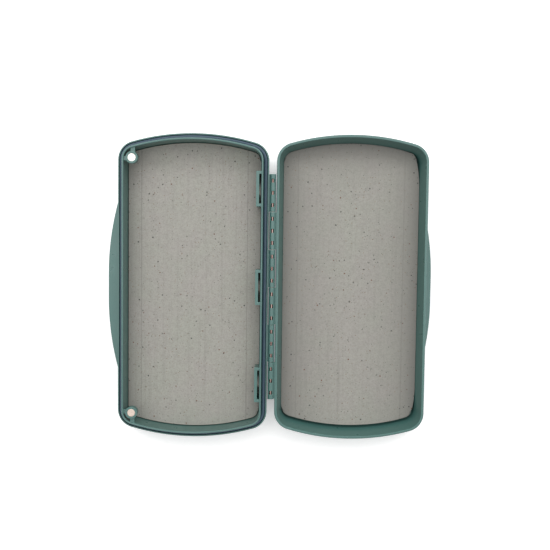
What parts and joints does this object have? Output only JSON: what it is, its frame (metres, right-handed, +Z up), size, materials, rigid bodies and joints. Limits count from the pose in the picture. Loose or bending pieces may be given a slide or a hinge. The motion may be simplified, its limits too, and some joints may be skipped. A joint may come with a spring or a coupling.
{
  "type": "fly box",
  "caption": "Pocket fly box with sealing lip and gasket, windowed pin hinge, magnet catches, thumb fins and grey foam pads in both halves",
  "frame": {"origin": "under the hinge axis, in the middle of the plane on which both backs rest", "axes": "X across both halves with the base on the minus side, Y along the hinge, Z up"},
  "size_m": [0.1995, 0.188, 0.022],
  "materials": {
    "shell": "satin moulded grey-green plastic",
    "pin": "plain drawn steel",
    "gasket": "dark slate rubber",
    "foam": "closed-cell foam, grey with fine dark and brown specks",
    "backing": "plain sheet, hidden under the foam",
    "magnet": "bright nickel plate"
  },
  "bodies": {
    "base": {"base_shell": "shell", "hinge_pin": "pin", "gasket": "gasket", "base_pad": "foam", "base_backing": "backing", "base_magnet_upper": "magnet", "base_magnet_lower": "magnet"},
    "lid": {"lid_shell": "shell", "lid_pad": "foam", "lid_backing": "backing", "lid_magnet_upper": "magnet", "lid_magnet_lower": "magnet"}
  },
  "joints": [
    {"name": "lid_hinge", "type": "hinge", "parent": "base", "child": "lid", "pos_m": [0, 0, 0.016], "axis": [0, -1, 0], "range_deg": [0, 180]}
  ]
}
